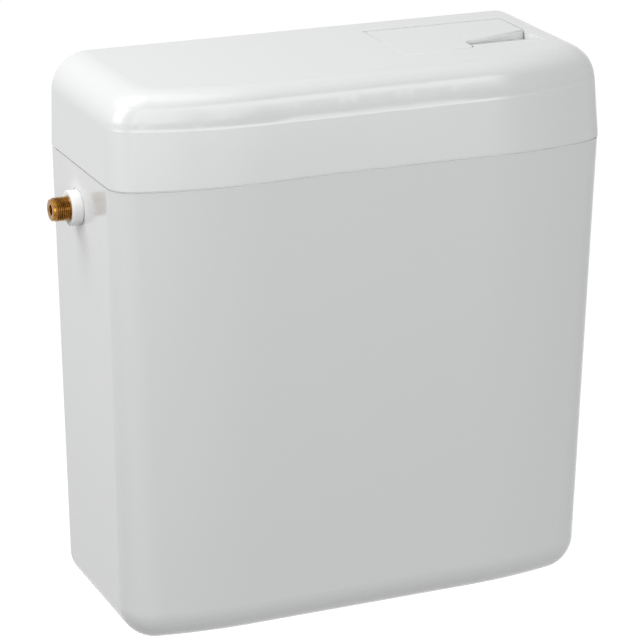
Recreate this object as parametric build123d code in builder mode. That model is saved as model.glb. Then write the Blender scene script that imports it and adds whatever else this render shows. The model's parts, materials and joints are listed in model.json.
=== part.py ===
from build123d import *
import os
from math import asin, cos, degrees, radians, sin

os.makedirs("parts", exist_ok=True)

# Toilet cistern, hung on a wall. Millimetres, +Z up, the wall at Y = 0 and the front towards -Y.
# The origin is on the wall, midway between the two hanging screws.

# Shell
rim_width = 368.0
rim_depth = 148.0
side_draft = 6.5
front_draft = 10.0
front_flat = 170.0
rim_bow_angle = 21.0
base_bow_angle = 10.5
rim_corner_radius = 22.0
base_corner_radius = 27.0
base_edge_radius = 26.0
body_height = 336.0
wall = 3.0
floor_thickness = 3.2
hanger_below_rim = 36.0
hanger_spacing = 200.0
hanger_slot_width = 8.5
hanger_slot_length = 14.0

# Seam between the tank and the lid
seam_rise = 3.2
seam_gap = 1.0
seam_depth = 1.2
seat_clearance = 0.3
cut_overrun = 5.0

# Lid
lid_height = 64.0
lid_overhang = 0.3
lid_wall = 3.0
lid_side_draft = 1.4
lid_front_lean = 9.0
lid_side_radius = 25.5
lid_front_radius = 12.0
lid_top_corner_radius = 24.0
lid_round_steps = 9
lip_clearance = 0.6
lip_thickness = 1.8
lip_drop = 6.0
lip_rise = 8.0

# Flush key and its well in the lid
key_side_margin = 32.4
key_width = 108.6
key_back = 24.0
key_depth = 71.5
key_step_run = 54.0
key_step = 19.0
key_end_step = 34.5
key_step_radius = 7.0
key_thickness = 3.0
key_gap = 0.7
key_edge_radius = 0.8
key_rib_height = 3.5
key_rib_width = 2.0
key_rib_inset = 3.0
well_depth = 16.0
well_wall = 3.0
well_floor = 2.5
scoop_run = 36.0
scoop_depth = 9.0
scoop_skin = 3.0
hinge_setback = 5.6
hinge_drop = 5.5
hinge_pin_radius = 1.5
hinge_barrel_radius = 3.3
hinge_barrel_length = 14.0
hinge_barrel_inset = 6.0
stud_radius = 4.0
stud_lead = 2.0
stud_hole_radius = 8.0
key_spring_radius = 4.5
key_spring_wire = 1.0
key_spring_turns = 5
key_spring_back = 12.0
key_spring_side = 2.0
spring_peg_radius = 3.5
spring_peg_height = 3.0

# Rocker that turns the push of the key into a lift
rocker_inset = 19.0
rocker_key_arm = 22.0
rocker_width = 12.0
rocker_thickness = 5.0
rocker_top_drop = 25.0
rocker_hub_radius = 6.0
rocker_nose_radius = 3.0
rocker_pad_radius = 7.0
rocker_pivot_drop = 4.0
fork_slot_width = 8.0
fork_slot_length = 9.0
fork_tine_width = 4.0
fork_head_length = 14.0
rocker_pin_radius = 2.0
running_clearance = 0.06
pin_fit = 0.02
push_gap = 0.3

# Bracket that carries the rocker on the back wall
cheek_thickness = 3.0
cheek_clearance = 0.5
cheek_width = 12.0
cheek_top = 5.5
beam_thickness = 6.0
beam_drop = 12.0
bracket_plate_width = 26.0
bracket_plate_thickness = 3.0
boss_length = 5.0
boss_radius = 5.0
screw_spacing = 14.0
screw_below_rim = 16.0
plate_margin = 10.0
screw_radius = 1.75
screw_head_radius = 3.5
screw_head_height = 2.2
screw_grip = 6.0

# Outlet and flush valve
outlet_setback = 1.0
recess_radius = 44.0
recess_height = 32.0
tail_radius = 29.8
tail_hole_clearance = 0.7
tail_rise = 4.0
base_flange_radius = 38.0
base_flange_thickness = 4.0
base_seal_thickness = 3.0
valve_throat_radius = 22.0
seat_ring_radius = 24.0
seat_ring_width = 3.0
seat_ring_height = 4.0
pipe_bore_radius = 25.25
pipe_socket_length = 20.0
base_nut_radius = 37.0
base_nut_height = 12.0
nut_lug_count = 8
nut_lug_radius = 3.0
pipe_nut_radius = 35.0
pipe_nut_height = 17.0
pipe_nut_floor = 3.0
pipe_nut_bore_clearance = 0.8
pipe_seal_thickness = 4.0
tower_radius = 35.0
tower_wall = 2.5
tower_height = 96.0
tower_window_width = 28.0
tower_window_height = 52.0
tower_window_rise = 8.0
tower_window_radius = 6.0
tower_window_count = 4
tower_guide_clearance = 0.5
tower_guide_wall = 3.0
tower_guide_height = 12.0
tube_radius = 15.0
tube_wall = 2.0
overflow_below_rim = 61.0
plunger_flange_radius = 28.0
plunger_flange_thickness = 3.0
flush_seal_radius = 29.0
flush_seal_thickness = 3.0
flush_seal_gap = 0.2
seal_clamp_radius = 20.5
seal_clamp_thickness = 3.5
lift_bar_width = 5.0
lift_bar_height = 4.0
lift_rod_radius = 3.0
lift_nut_radius = 9.0
lift_nut_height = 3.5
lift_rod_tip = 1.5

# Side inlets
inlet_y = 52.0
inlet_below_rim = 32.0
thread_radius = 8.33
shank_step = 0.45
thread_hole_clearance = 0.3
spot_face = 0.35
spot_face_radius = 14.0
inner_pad = 1.0
tail_length = 20.4
tail_bore_radius = 4.5
inlet_nut_radius = 12.3
inlet_nut_length = 8.0
inlet_seal_thickness = 2.0
inlet_shoulder_radius = 12.5
inlet_shoulder_length = 3.0
spigot_radius = 7.0
spigot_length = 10.0

# Fill valve
fill_body_radius = 12.0
fill_body_length = 42.0
fill_flange_radius = 17.0
fill_flange_length = 4.0
fill_bore_radius = 5.0
fill_seat_thickness = 1.5
fill_nozzle_radius = 2.5
diaphragm_radius = 15.0
diaphragm_thickness = 2.0
fill_cap_length = 10.0
cap_chamber_radius = 9.0
cap_chamber_depth = 4.5
downpipe_inset = 22.0
downpipe_collar_radius = 9.0
downpipe_collar_drop = 14.0
downpipe_spigot_radius = 6.2
downpipe_spigot_length = 12.0
downpipe_bore_radius = 4.5
silencer_radius = 8.0
silencer_bore_radius = 6.4
silencer_floor_gap = 50.0
valve_pin_radius = 2.0
valve_pin_head_radius = 3.5
valve_pin_head_length = 1.5

# Float and its lever
float_pivot_drop = 9.0
float_pivot_reach = 7.0
float_hub_radius = 4.0
float_pin_radius = 1.5
ear_thickness = 3.0
ear_clearance = 1.0
ear_radius = 5.0
lever_width = 10.0
lever_thickness = 5.0
lever_reach = 62.0
finger_thickness = 3.5
finger_width = 8.0
finger_overlap = 4.0
float_reach = 45.0
float_length = 44.0
float_width = 56.0
float_height = 38.0
float_drop = 5.0
float_edge_radius = 6.0
float_neck_radius = 6.0
float_screw_radius = 2.0
float_screw_head_radius = 4.5
float_screw_head_height = 2.5
float_screw_depth = 14.0

# Blanking plug in the right-hand inlet hole
plug_head_radius = 13.0
plug_head_length = 3.5
plug_head_edge = 1.2
plug_seal_thickness = 2.0
plug_nut_length = 7.0
plug_tip = 2.0
plug_nut_sides = 6

# Places worked out from the sizes above
full_turn = 360
quarter_turn = full_turn / 4
base_width = rim_width - 2 * side_draft
base_depth = rim_depth - front_draft
hanger_height = body_height - hanger_below_rim
inlet_height = body_height - inlet_below_rim
overflow_height = body_height - overflow_below_rim
outlet_y = base_depth / 2 - outlet_setback
key_right = rim_width / 2 - key_side_margin
key_left = key_right - key_width
key_front = key_back + key_depth
key_step_x = key_left + key_step_run
key_step_y = key_front - key_step
key_right_y = key_front - key_end_step
hinge_y = key_back + hinge_setback
rocker_x = key_left + rocker_inset
floor_z = -hanger_height
seam_z = floor_z + body_height
full_height = body_height + lid_height
top_z = floor_z + full_height
reach = rim_width / 2 + cut_overrun
plateau_height = recess_height + floor_thickness
flange_height = plateau_height + base_seal_thickness
seat_height = flange_height + base_flange_thickness + seat_ring_height
inlet_z = floor_z + inlet_height
screw_z = seam_z - screw_below_rim


def level(height, x=0.0, y=0.0):
    """Horizontal plane at a height above the underside of the tank."""
    return Plane(origin=(x, y, floor_z + height))


def crosswise(x, y, z):
    """Plane across the X axis, its normal towards +X."""
    return Plane(origin=(x, y, z), x_dir=(0, 1, 0), z_dir=(1, 0, 0))


def disc(plane, radius, bore=0.0):
    """Round face with an optional hole, for an extrusion."""
    with BuildSketch(plane) as face:
        Circle(radius)
        if bore > 0:
            Circle(bore, mode=Mode.SUBTRACT)
    return face.sketch


def block(plane, size_x, size_y):
    """Rectangular face, for an extrusion."""
    with BuildSketch(plane) as face:
        Rectangle(size_x, size_y)
    return face.sketch


def outline(plane, width, depth, corner_radius, bow_angle, back):
    """Plan outline: straight back and sides, round front corners, and a front that bows back at its ends."""
    half = width / 2
    bow_radius = (half - front_flat / 2 - corner_radius) / sin(radians(bow_angle)) + corner_radius
    with BuildSketch(plane) as face:
        with BuildLine():
            front = Line((-front_flat / 2, -depth), (front_flat / 2, -depth))
            bow = JernArc(front @ 1, (1, 0), bow_radius, bow_angle)
            corner = JernArc(bow @ 1, bow % 1, corner_radius, quarter_turn - bow_angle)
            side = Line(corner @ 1, (half, -back))
            mirror([bow, corner, side], about=Plane.YZ)
            Line((-half, -back), (half, -back))
        make_face()
    return face.sketch


def back_line(inset):
    """Distance of an outline's back from the wall. Outer ones run past the wall, to be cut flat there."""
    return inset if inset > 0 else -cut_overrun


def body_outline(height, inset=0.0):
    """Outline of the tank at a height, or of a surface that lies inset behind its outer one."""
    share = height / body_height
    width = base_width + (rim_width - base_width) * share - 2 * inset
    depth = base_depth + (rim_depth - base_depth) * share - inset
    corner = base_corner_radius + (rim_corner_radius - base_corner_radius) * share - inset
    bow = base_bow_angle + (rim_bow_angle - base_bow_angle) * share
    return outline(level(height), width, depth, corner, bow, back_line(inset))


def body_half_width(height):
    """Half of the tank's outer width at a height."""
    return (base_width + (rim_width - base_width) * height / body_height) / 2


def lid_outline(height, inset=0.0):
    """Outline of the lid at a height, or of a surface that lies inset behind its outer one."""
    share = (height - body_height) / lid_height
    side_radius = lid_side_radius - inset
    front_radius = lid_front_radius - inset
    side_rise = (height - (full_height - inset - side_radius)) / side_radius
    front_rise = (height - (full_height - inset - front_radius)) / front_radius
    side_turn = asin(min(1, max(0, side_rise)))
    front_turn = asin(min(1, max(0, front_rise)))
    side_in = inset - lid_overhang + lid_side_draft * share + side_radius * (1 - cos(side_turn))
    front_in = inset - lid_overhang + lid_front_lean * share + front_radius * (1 - cos(front_turn))
    corner = rim_corner_radius + (lid_top_corner_radius - rim_corner_radius) * max(0, share) - inset
    width = rim_width - 2 * side_in
    depth = rim_depth - front_in
    return outline(level(height), width, depth, corner, rim_bow_angle, back_line(inset))


def lid_shell(inset=0.0):
    """Solid inside the lid's outer surface, or inside the one that lies inset behind it."""
    side_radius = lid_side_radius - inset
    spring = full_height - inset - side_radius
    turns = [quarter_turn * step / lid_round_steps for step in range(lid_round_steps + 1)]
    with BuildPart() as shell:
        loft([lid_outline(body_height - lip_drop, inset), lid_outline(spring, inset)], ruled=True)
        loft([lid_outline(spring + side_radius * sin(radians(turn)), inset) for turn in turns])
    return shell.part


def beyond_seam(seam, upwards):
    """Block that fills everything above, or below, a line that rises gently to the middle of the front."""
    far = seam + reach if upwards else seam - 2 * reach
    with BuildPart() as region:
        with BuildSketch(Plane.XZ):
            with BuildLine():
                arch = ThreePointArc((-reach, seam - seam_rise), (0, seam), (reach, seam - seam_rise))
                Polyline(arch @ 1, (reach, far), (-reach, far), arch @ 0)
            make_face()
        extrude(amount=reach, both=True)
    return region.part


with BuildPart() as wall_side:
    with BuildSketch(Plane.YZ):
        with BuildLine():
            Polyline((0, floor_z - reach), (reach, floor_z - reach), (reach, top_z + reach),
                     (0, top_z + reach), close=True)
        make_face()
    extrude(amount=reach, both=True)

seam_middle = seam_z + seam_rise / 2
loft_top = body_height + seam_rise

# Tank body
with BuildPart() as tank_cavity:
    loft([body_outline(floor_thickness, wall), body_outline(loft_top, wall)], ruled=True)
    cavity_floor = tank_cavity.faces().sort_by(Axis.Z)[0]
    fillet(cavity_floor.edges().sort_by(Axis.Y)[:-1], base_edge_radius - wall)

with BuildPart() as rim_band:
    loft([body_outline(body_height - lip_drop, seam_depth), body_outline(loft_top, seam_depth)], ruled=True)
    add(beyond_seam(seam_middle, True), mode=Mode.SUBTRACT)

inlet_face_x = body_half_width(inlet_height) - spot_face
inlet_pad_x = body_half_width(inlet_height) - wall - inner_pad

with BuildPart() as tank_body:
    loft([body_outline(0), body_outline(loft_top)], ruled=True)
    underside = tank_body.faces().sort_by(Axis.Z)[0]
    fillet(underside.edges().sort_by(Axis.Y)[:-1], base_edge_radius)
    add(wall_side.part, mode=Mode.SUBTRACT)
    add(beyond_seam(seam_middle - seam_gap, True), mode=Mode.SUBTRACT)
    add(rim_band.part)
    add(tank_cavity.part, mode=Mode.SUBTRACT)
    extrude(disc(level(0, 0, -outlet_y), recess_radius + floor_thickness), amount=plateau_height)
    extrude(disc(level(0, 0, -outlet_y), recess_radius), amount=recess_height, mode=Mode.SUBTRACT)
    extrude(disc(level(0, 0, -outlet_y), tail_radius + tail_hole_clearance), amount=plateau_height,
            mode=Mode.SUBTRACT)
    for side in (-1, 1):
        hole_plane = crosswise(side * inlet_face_x, -inlet_y, inlet_z)
        pad_plane = crosswise(side * inlet_pad_x, -inlet_y, inlet_z)
        extrude(disc(pad_plane, spot_face_radius), amount=side * wall)
        extrude(disc(hole_plane, spot_face_radius), amount=side * cut_overrun, mode=Mode.SUBTRACT)
        extrude(disc(pad_plane, thread_radius + thread_hole_clearance), amount=side * 2 * cut_overrun,
                mode=Mode.SUBTRACT)
    with BuildSketch(Plane.XZ) as hanger_slots:
        with GridLocations(hanger_spacing, 0, 2, 1):
            SlotOverall(hanger_slot_length, hanger_slot_width)
    extrude(amount=wall, mode=Mode.SUBTRACT)
    with BuildSketch(Plane.XZ.offset(wall)):
        with Locations((rocker_x, screw_z)):
            with GridLocations(screw_spacing, 0, 2, 1):
                Circle(boss_radius)
    extrude(amount=boss_length)
    with BuildSketch(Plane.XZ.offset(wall + boss_length - screw_grip)):
        with Locations((rocker_x, screw_z)):
            with GridLocations(screw_spacing, 0, 2, 1):
                Circle(screw_radius + pin_fit)
    extrude(amount=screw_grip, mode=Mode.SUBTRACT)

tank_body.part.label = "tank_body"
export_step(tank_body.part, "parts/tank_body.step")

# Lid
key_hinge_z = top_z - hinge_drop
well_floor_top = top_z - well_depth
well_underside = well_floor_top - well_floor
stud_y = outlet_y + stud_lead
stud_x = rocker_x + rocker_key_arm
spring_x = stud_x - stud_radius - key_spring_side - key_spring_wire / 2 - key_spring_radius
spring_y = key_front - key_spring_back


def key_outline(plane, gap=0.0):
    """Plan of the flush key: straight front edge on the left, then a step back to the finger scoop."""
    with BuildSketch(plane) as face:
        with BuildLine():
            front = FilletPolyline((key_left, -key_front), (key_step_x, -key_front),
                                   (key_step_x, -key_step_y), (key_right, -key_right_y),
                                   radius=key_step_radius)
            Polyline(front @ 1, (key_right, -key_back), (key_left, -key_back), front @ 0)
        make_face()
        if gap > 0:
            offset(amount=gap)
    return face.sketch


with BuildPart() as lid_skin:
    add(lid_shell())
    add(wall_side.part, mode=Mode.SUBTRACT)
    add(beyond_seam(seam_middle + seat_clearance, False), mode=Mode.SUBTRACT)

lip_inset = wall + lip_clearance
lip_bottom = body_height - lip_drop
lip_top = body_height + lip_rise

with BuildPart() as lid_lip:
    loft([body_outline(lip_bottom, lip_inset), body_outline(lip_top, lip_inset)], ruled=True)
    bore_inset = lip_inset + lip_thickness
    loft([body_outline(lip_bottom, bore_inset), body_outline(lip_top, bore_inset)], ruled=True,
         mode=Mode.SUBTRACT)

with BuildPart() as lip_root:
    root_inset = lid_wall / 2
    loft([body_outline(loft_top, root_inset), body_outline(lip_top, root_inset)], ruled=True)
    loft([body_outline(loft_top, bore_inset), body_outline(lip_top, bore_inset)], ruled=True,
         mode=Mode.SUBTRACT)

well_left = key_left - key_gap
well_right = key_right + key_gap
well_back = key_back - key_gap
well_front = key_front + key_gap
well_middle_x = (well_left + well_right) / 2
well_middle_y = -(well_back + well_front) / 2
well_size_x = well_right - well_left
well_size_y = well_front - well_back
well_height = top_z - lid_wall / 2 - well_underside
scoop_radius = (scoop_run ** 2 + scoop_depth ** 2) / (2 * scoop_depth)
scoop_front = key_right_y + scoop_run
scoop_left = key_step_x

with BuildPart() as scoop:
    with BuildSketch(Plane(origin=(scoop_left, 0, 0), x_dir=(0, 1, 0), z_dir=(1, 0, 0))):
        with BuildLine():
            ramp = JernArc((-scoop_front, top_z), (1, 0), scoop_radius,
                           -degrees(asin((scoop_run + key_gap) / scoop_radius)))
            Polyline(ramp @ 1, (ramp @ 1 + (0, scoop_depth + cut_overrun)),
                     (-scoop_front, top_z + cut_overrun), ramp @ 0)
        make_face()
    extrude(amount=well_right - scoop_left)

with BuildPart() as well_void:
    extrude(key_outline(Plane.XY.offset(well_floor_top), key_gap), amount=well_depth + cut_overrun)

with BuildPart() as under_scoop:
    core_left = key_step_x + key_gap + well_wall
    core_back = key_right_y + key_gap + well_wall
    core_plane = Plane.XY.offset(well_underside)
    with BuildSketch(core_plane):
        with BuildLine():
            Polyline((core_left, -well_front), (well_right, -well_front), (well_right, -core_back),
                     (core_left, -key_step_y - key_gap - well_wall), close=True)
        make_face()
    extrude(amount=well_depth + well_floor - scoop_depth - scoop_skin)

with BuildPart() as lid:
    add(lid_skin.part)
    add(lid_shell(lid_wall), mode=Mode.SUBTRACT)
    add(lid_lip.part)
    add(lip_root.part)
    with BuildSketch(Plane.XY.offset(well_underside)):
        with Locations((well_middle_x, well_middle_y)):
            Rectangle(well_size_x + 2 * well_wall, well_size_y + 2 * well_wall)
    extrude(amount=well_height)
    add(well_void.part, mode=Mode.SUBTRACT)
    add(scoop.part, mode=Mode.SUBTRACT)
    add(under_scoop.part, mode=Mode.SUBTRACT)
    with BuildSketch(Plane.XY.offset(well_underside)):
        with Locations((stud_x, -stud_y)):
            Circle(stud_hole_radius)
    extrude(amount=well_floor, mode=Mode.SUBTRACT)
    with BuildSketch(Plane.XY.offset(well_floor_top)):
        with Locations((spring_x, -spring_y)):
            Circle(spring_peg_radius)
    extrude(amount=spring_peg_height)
    extrude(disc(crosswise(well_left - 2 * well_wall, -hinge_y, key_hinge_z), hinge_pin_radius + pin_fit),
            amount=well_size_x + 4 * well_wall, mode=Mode.SUBTRACT)

lid.part.label = "lid"
export_step(lid.part, "parts/lid.step")

with BuildPart() as key_hinge_pin:
    extrude(disc(crosswise(well_left - well_wall, -hinge_y, key_hinge_z), hinge_pin_radius),
            amount=well_size_x + 2 * well_wall)

key_hinge_pin.part.label = "key_hinge_pin"
export_step(key_hinge_pin.part, "parts/key_hinge_pin.step")

# Flush key
rocker_top = top_z - rocker_top_drop
stud_tip = rocker_top + push_gap
key_underside = top_z - key_thickness

with BuildPart() as flush_key:
    extrude(key_outline(Plane.XY.offset(key_underside)), amount=key_thickness)
    fillet(flush_key.faces().sort_by(Axis.Z)[-1].edges(), key_edge_radius)
    for barrel_x in (key_left + hinge_barrel_inset, key_right - hinge_barrel_inset - hinge_barrel_length):
        extrude(disc(crosswise(barrel_x, -hinge_y, key_hinge_z), hinge_barrel_radius),
                amount=hinge_barrel_length)
        with BuildSketch(crosswise(barrel_x, -hinge_y, key_hinge_z)):
            with Locations((0, hinge_drop / 2 - key_thickness / 2)):
                Rectangle(2 * hinge_barrel_radius, hinge_drop - key_thickness)
        extrude(amount=hinge_barrel_length)
    extrude(disc(crosswise(key_left, -hinge_y, key_hinge_z), hinge_pin_radius + running_clearance),
            amount=key_right - key_left, mode=Mode.SUBTRACT)
    with BuildSketch(Plane.XY.offset(stud_tip + stud_radius)):
        with Locations((stud_x, -stud_y)):
            Circle(stud_radius)
    extrude(amount=key_underside - stud_tip - stud_radius)
    with Locations((stud_x, -stud_y, stud_tip + stud_radius)):
        Sphere(stud_radius)
    rib_left = key_left + key_rib_inset
    rib_right = key_step_x - key_rib_inset
    rib_plane = Plane.XY.offset(key_underside - key_rib_height)
    with BuildSketch(rib_plane):
        with Locations(((rib_left + rib_right) / 2, -key_front + key_rib_inset)):
            Rectangle(rib_right - rib_left, key_rib_width)
    extrude(amount=key_rib_height)

flush_key.part.label = "flush_key"
export_step(flush_key.part, "parts/flush_key.step")

# Spring under the flush key
spring_room = key_underside - well_floor_top
coil_bottom = well_floor_top + seat_clearance + key_spring_wire / 2
coil_height = spring_room - 2 * seat_clearance - key_spring_wire

with BuildPart() as key_spring:
    with BuildLine(Plane(origin=(spring_x, -spring_y, coil_bottom))):
        coil = Helix(coil_height / key_spring_turns, coil_height, key_spring_radius)
    with BuildSketch(Plane(origin=coil @ 0, z_dir=coil % 0)):
        Circle(key_spring_wire / 2)
    sweep(path=coil, is_frenet=True)

key_spring.part.label = "key_spring"
export_step(key_spring.part, "parts/key_spring.step")

# Rocker
pivot_z = rocker_top - rocker_pivot_drop
nose_z = rocker_top - rocker_nose_radius
bar_left = fork_slot_length - rocker_nose_radius
fork_width = fork_slot_width + 2 * fork_tine_width

with BuildPart() as flush_rocker:
    with BuildSketch(Plane.XY.offset(rocker_top - rocker_thickness)):
        with Locations(((bar_left + stud_x) / 2, -outlet_y)):
            Rectangle(stud_x - bar_left, rocker_width)
        with Locations((stud_x, -outlet_y)):
            Circle(rocker_pad_radius)
        with Locations(((bar_left + fork_head_length) / 2, -outlet_y)):
            Rectangle(fork_head_length - bar_left, fork_width)
    extrude(amount=rocker_thickness)
    with BuildSketch(Plane.XZ.offset(outlet_y - rocker_width / 2)):
        with Locations((rocker_x, pivot_z)):
            Circle(rocker_hub_radius)
    extrude(amount=rocker_width)
    for tine in (-1, 1):
        tine_y = outlet_y + tine * (fork_slot_width + fork_tine_width) / 2
        with BuildSketch(Plane.XZ.offset(tine_y - fork_tine_width / 2)):
            with Locations((0, nose_z)):
                Circle(rocker_nose_radius)
            with Locations((bar_left / 2, nose_z)):
                Rectangle(bar_left, 2 * rocker_nose_radius)
        extrude(amount=fork_tine_width)
    with BuildSketch(Plane.XZ.offset(outlet_y - rocker_width)):
        with Locations((rocker_x, pivot_z)):
            Circle(rocker_pin_radius + running_clearance)
    extrude(amount=2 * rocker_width, mode=Mode.SUBTRACT)

flush_rocker.part.label = "flush_rocker"
export_step(flush_rocker.part, "parts/flush_rocker.step")

# Bracket, its pin and its screws
cheek_gap = rocker_width + 2 * cheek_clearance
fork_reach = outlet_y + cheek_gap / 2 + cheek_thickness
plate_back = wall + boss_length
plate_front = plate_back + bracket_plate_thickness
beam_top = pivot_z - beam_drop
plate_top = beam_top
plate_bottom = screw_z - plate_margin

with BuildPart() as rocker_bracket:
    with BuildSketch(Plane.XZ.offset(plate_back)):
        with Locations((rocker_x, (plate_top + plate_bottom) / 2)):
            Rectangle(bracket_plate_width, plate_top - plate_bottom)
    extrude(amount=bracket_plate_thickness)
    with BuildSketch(Plane.XY.offset(beam_top - beam_thickness)):
        with Locations((rocker_x, -(plate_back + fork_reach) / 2)):
            Rectangle(cheek_width, fork_reach - plate_back)
    extrude(amount=beam_thickness)
    for cheek_y in (outlet_y - cheek_gap / 2 - cheek_thickness, outlet_y + cheek_gap / 2):
        with BuildSketch(Plane.XZ.offset(cheek_y)):
            with Locations((rocker_x, pivot_z)):
                Circle(cheek_top)
            with Locations((rocker_x, (pivot_z + beam_top) / 2)):
                Rectangle(2 * cheek_top, pivot_z - beam_top)
        extrude(amount=cheek_thickness)
    with BuildSketch(Plane.XZ.offset(plate_back)):
        with Locations((rocker_x, pivot_z)):
            Circle(rocker_pin_radius + pin_fit)
        with Locations((rocker_x, screw_z)):
            with GridLocations(screw_spacing, 0, 2, 1):
                Circle(screw_radius + thread_hole_clearance)
    extrude(amount=fork_reach, mode=Mode.SUBTRACT)

rocker_bracket.part.label = "rocker_bracket"
export_step(rocker_bracket.part, "parts/rocker_bracket.step")

with BuildPart() as rocker_pin:
    with BuildSketch(Plane.XZ.offset(fork_reach - cheek_gap - 2 * cheek_thickness)):
        with Locations((rocker_x, pivot_z)):
            Circle(rocker_pin_radius)
    extrude(amount=cheek_gap + 2 * cheek_thickness)

rocker_pin.part.label = "rocker_pin"
export_step(rocker_pin.part, "parts/rocker_pin.step")

screw_seat = plate_front
with BuildPart() as bracket_screws:
    with BuildSketch(Plane.XZ.offset(screw_seat)):
        with Locations((rocker_x, screw_z)):
            with GridLocations(screw_spacing, 0, 2, 1):
                Circle(screw_head_radius)
    extrude(amount=screw_head_height)
    with BuildSketch(Plane.XZ.offset(plate_back - screw_grip)):
        with Locations((rocker_x, screw_z)):
            with GridLocations(screw_spacing, 0, 2, 1):
                Circle(screw_radius)
    extrude(amount=screw_grip + bracket_plate_thickness)

bracket_screws.part.label = "bracket_screws"
export_step(bracket_screws.part, "parts/bracket_screws.step")

# Outlet: valve base, its seal and its nut
def outlet_plane(height):
    """Horizontal plane centred on the outlet, at a height above the underside of the tank."""
    return level(height, 0, -outlet_y)


tail_bottom = tail_rise
socket_top = tail_bottom + pipe_socket_length
seat_bottom = flange_height + base_flange_thickness

with BuildPart() as valve_base:
    extrude(disc(outlet_plane(tail_bottom), tail_radius), amount=flange_height - tail_bottom)
    extrude(disc(outlet_plane(flange_height), base_flange_radius), amount=base_flange_thickness)
    extrude(disc(outlet_plane(seat_bottom), seat_ring_radius + seat_ring_width), amount=seat_ring_height)
    extrude(disc(outlet_plane(tail_bottom), pipe_bore_radius), amount=pipe_socket_length, mode=Mode.SUBTRACT)
    extrude(disc(outlet_plane(socket_top), valve_throat_radius), amount=seat_height - socket_top,
            mode=Mode.SUBTRACT)
    fillet(valve_base.edges().filter_by(GeomType.CIRCLE).group_by(Axis.Z)[-1], seat_ring_width / 3)

valve_base.part.label = "valve_base"
export_step(valve_base.part, "parts/valve_base.step")

with BuildPart() as base_seal:
    extrude(disc(outlet_plane(plateau_height), base_flange_radius, tail_radius + tail_hole_clearance),
            amount=base_seal_thickness)

base_seal.part.label = "base_seal"
export_step(base_seal.part, "parts/base_seal.step")

with BuildPart() as base_nut:
    extrude(disc(outlet_plane(recess_height - base_nut_height), base_nut_radius), amount=base_nut_height)
    with BuildSketch(outlet_plane(recess_height - base_nut_height)):
        with PolarLocations(base_nut_radius, nut_lug_count):
            Circle(nut_lug_radius)
    extrude(amount=base_nut_height)
    extrude(disc(outlet_plane(recess_height - base_nut_height), tail_radius + pin_fit),
            amount=base_nut_height, mode=Mode.SUBTRACT)

base_nut.part.label = "base_nut"
export_step(base_nut.part, "parts/base_nut.step")

# Flush pipe joint
nut_bottom = tail_bottom - pipe_seal_thickness - pipe_nut_floor

with BuildPart() as pipe_seal:
    extrude(disc(outlet_plane(tail_bottom - pipe_seal_thickness), tail_radius - pin_fit, pipe_bore_radius),
            amount=pipe_seal_thickness)

pipe_seal.part.label = "pipe_seal"
export_step(pipe_seal.part, "parts/pipe_seal.step")

with BuildPart() as pipe_nut:
    extrude(disc(outlet_plane(nut_bottom), pipe_nut_radius), amount=pipe_nut_height)
    with BuildSketch(outlet_plane(nut_bottom)):
        with PolarLocations(pipe_nut_radius, nut_lug_count):
            Circle(nut_lug_radius)
    extrude(amount=pipe_nut_height)
    extrude(disc(outlet_plane(nut_bottom), pipe_bore_radius + pipe_nut_bore_clearance),
            amount=pipe_nut_floor, mode=Mode.SUBTRACT)
    extrude(disc(outlet_plane(nut_bottom + pipe_nut_floor), tail_radius + pin_fit),
            amount=pipe_nut_height - pipe_nut_floor, mode=Mode.SUBTRACT)

pipe_nut.part.label = "pipe_nut"
export_step(pipe_nut.part, "parts/pipe_nut.step")

# Valve tower: a cage over the seat that guides the overflow tube
guide_bore = tube_radius + tower_guide_clearance
guide_radius = guide_bore + tower_guide_wall
tower_top = seat_bottom + tower_height

with BuildPart() as valve_tower:
    extrude(disc(outlet_plane(seat_bottom), tower_radius), amount=tower_height)
    extrude(disc(outlet_plane(tower_top), guide_radius), amount=tower_guide_height)
    extrude(disc(outlet_plane(seat_bottom), tower_radius - tower_wall), amount=tower_height - tower_wall,
            mode=Mode.SUBTRACT)
    extrude(disc(outlet_plane(seat_bottom), guide_bore), amount=tower_height + tower_guide_height,
            mode=Mode.SUBTRACT)
    window_height = seat_bottom + tower_window_rise + tower_window_height / 2
    for window in range(tower_window_count):
        turn = Location((0, 0, 0), (0, 0, window * full_turn / tower_window_count))
        upright = Location((0, 0, 0), (quarter_turn, 0, 0))
        with BuildSketch(outlet_plane(window_height) * turn * upright):
            RectangleRounded(tower_window_width, tower_window_height, tower_window_radius)
        extrude(amount=tower_radius + cut_overrun, mode=Mode.SUBTRACT)

valve_tower.part.label = "valve_tower"
export_step(valve_tower.part, "parts/valve_tower.step")

# Plunger: overflow tube, seal, clamp, lift rod and lift nut
seal_bottom = seat_height + flush_seal_gap
seal_top = seal_bottom + flush_seal_thickness
tube_bottom = seal_bottom - seal_clamp_thickness

with BuildPart() as overflow_tube:
    extrude(disc(outlet_plane(tube_bottom), tube_radius), amount=overflow_height - tube_bottom)
    extrude(disc(outlet_plane(seal_top), plunger_flange_radius), amount=plunger_flange_thickness)
    extrude(disc(outlet_plane(tube_bottom), tube_radius - tube_wall), amount=overflow_height - tube_bottom,
            mode=Mode.SUBTRACT)
    with BuildSketch(outlet_plane(overflow_height - lift_bar_height)):
        Rectangle(2 * tube_radius, lift_bar_width + 2 * pin_fit)
    extrude(amount=lift_bar_height, mode=Mode.SUBTRACT)

overflow_tube.part.label = "overflow_tube"
export_step(overflow_tube.part, "parts/overflow_tube.step")

with BuildPart() as flush_seal:
    extrude(disc(outlet_plane(seal_bottom), flush_seal_radius, tube_radius + pin_fit),
            amount=flush_seal_thickness)

flush_seal.part.label = "flush_seal"
export_step(flush_seal.part, "parts/flush_seal.step")

with BuildPart() as seal_clamp:
    extrude(disc(outlet_plane(tube_bottom), seal_clamp_radius, tube_radius + pin_fit),
            amount=seal_clamp_thickness)

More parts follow.
